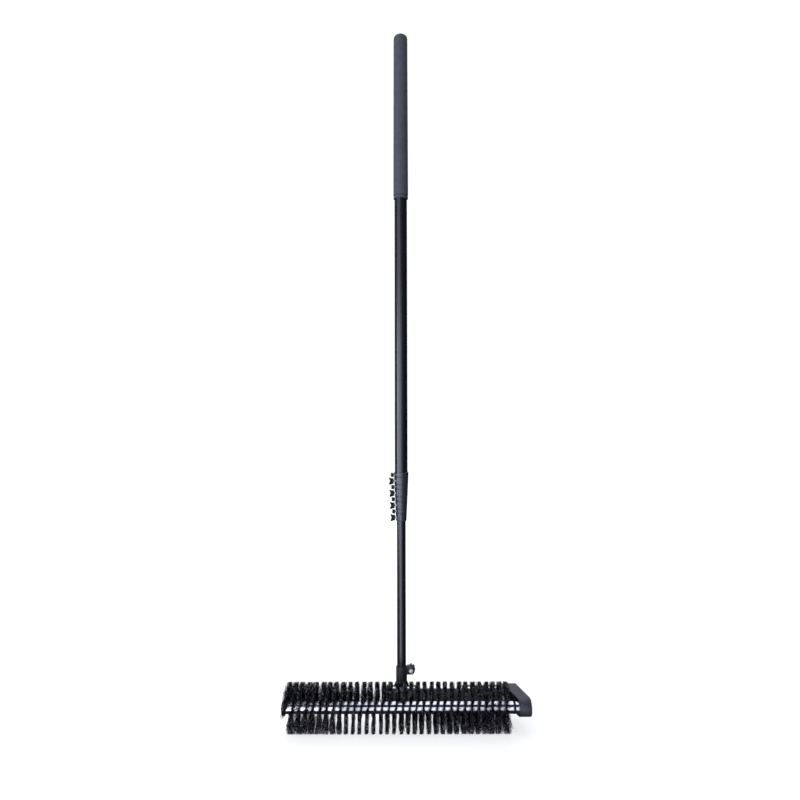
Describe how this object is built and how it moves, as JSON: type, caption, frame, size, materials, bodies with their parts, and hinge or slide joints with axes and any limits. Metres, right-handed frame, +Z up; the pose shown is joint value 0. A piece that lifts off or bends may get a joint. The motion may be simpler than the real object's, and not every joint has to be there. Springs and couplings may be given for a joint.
{
  "type": "roller brush sweeper",
  "caption": "Push sweeper: a helical bristle roller on a one-sided arm under a telescopic pole with a foam grip.",
  "frame": {"origin": "on the pole's axis in the middle of the hand grip", "axes": "+Z up along the pole towards the grip's top, +X along the roller towards the arm's side, -Y towards the roller and the front"},
  "size_m": [0.4466, 0.1124, 1.281],
  "materials": {
    "foam": "closed-cell foam, matt",
    "black_tube": "satin black powder coat",
    "ring_plastic": "moulded, satin",
    "black_plastic": "moulded, satin",
    "rough_plastic": "coarse spark-eroded grain",
    "arm_plastic": "fine moulded grain",
    "inner_plastic": "plain moulded nylon",
    "grey_plate": "satin grey paint",
    "zinc_steel": "bright zinc plate",
    "polished_steel": "polished",
    "channel_steel": "dark rolled strip",
    "black_rubber": "smooth",
    "bristles": "crimped nylon bristle"
  },
  "bodies": {
    "handle": {"grip_sleeve": "foam", "pole_end_plug": "inner_plastic", "upper_tube": "black_tube", "guide_bush": "inner_plastic", "collar_sleeve": "black_plastic", "clamp_ring_1": "ring_plastic", "clamp_ring_2": "ring_plastic", "clamp_ring_3": "ring_plastic", "clamp_ring_4": "ring_plastic", "clamp_ring_5": "ring_plastic", "clamp_ring_6": "ring_plastic", "clamp_ring_7": "ring_plastic", "clamp_ring_8": "ring_plastic", "square_screws": "zinc_steel", "square_heads": "black_plastic"},
    "wing_screw_1": {"wing_stud_1": "zinc_steel", "wing_head_1": "black_plastic"},
    "wing_screw_2": {"wing_stud_2": "zinc_steel", "wing_head_2": "black_plastic"},
    "wing_screw_3": {"wing_stud_3": "zinc_steel", "wing_head_3": "black_plastic"},
    "wing_screw_4": {"wing_stud_4": "zinc_steel", "wing_head_4": "black_plastic"},
    "lower_pole": {"lower_tube": "black_tube", "tube_stop": "inner_plastic", "tube_tip": "inner_plastic"},
    "head": {"pole_socket": "rough_plastic", "clamp_nut": "zinc_steel", "foot_bolts": "zinc_steel", "foot_nuts": "zinc_steel", "bracket_plate": "grey_plate", "side_arm": "arm_plastic", "arm_bolts": "zinc_steel", "arm_nuts": "zinc_steel", "axle": "zinc_steel", "axle_clip": "zinc_steel", "axle_screw": "zinc_steel", "end_ring": "polished_steel"},
    "knob": {"knob_stud": "zinc_steel", "clamp_knob": "black_plastic"},
    "roller": {"core_tube": "polished_steel", "bearing_left": "inner_plastic", "bearing_right": "inner_plastic", "seal_ring": "black_rubber", "end_cap": "black_plastic", "bristle_channel": "channel_steel", "bristle_helix": "bristles"}
  },
  "joints": [
    {"name": "pole_slide", "type": "slide", "parent": "handle", "child": "lower_pole", "axis": [0, 0, 1], "range_m": [-0.25, 0.26]},
    {"name": "head_swivel", "type": "hinge", "parent": "lower_pole", "child": "head", "pos_m": [0, 0, -1.047], "axis": [0, 0, 1], "range_deg": [-90, 90]},
    {"name": "knob_turn", "type": "hinge", "parent": "head", "child": "knob", "pos_m": [0.0178, 0, -1.0388], "axis": [0, 1, 0], "range_deg": [0, 540]},
    {"name": "roller_spin", "type": "hinge", "parent": "head", "child": "roller", "pos_m": [0, -0.055, -1.0835], "axis": [1, 0, 0], "continuous": true},
    {"name": "wing_turn_1", "type": "hinge", "parent": "handle", "child": "wing_screw_1", "pos_m": [0, 0, -0.68255], "axis": [-0.9063, -0.4226, 0], "range_deg": [0, 540]},
    {"name": "wing_turn_2", "type": "hinge", "parent": "handle", "child": "wing_screw_2", "pos_m": [0, 0, -0.70535], "axis": [-0.9063, -0.4226, 0], "range_deg": [0, 540]},
    {"name": "wing_turn_3", "type": "hinge", "parent": "handle", "child": "wing_screw_3", "pos_m": [0, 0, -0.72815], "axis": [-0.9063, -0.4226, 0], "range_deg": [0, 540]},
    {"name": "wing_turn_4", "type": "hinge", "parent": "handle", "child": "wing_screw_4", "pos_m": [0, 0, -0.75095], "axis": [-0.9063, -0.4226, 0], "range_deg": [0, 540]}
  ]
}
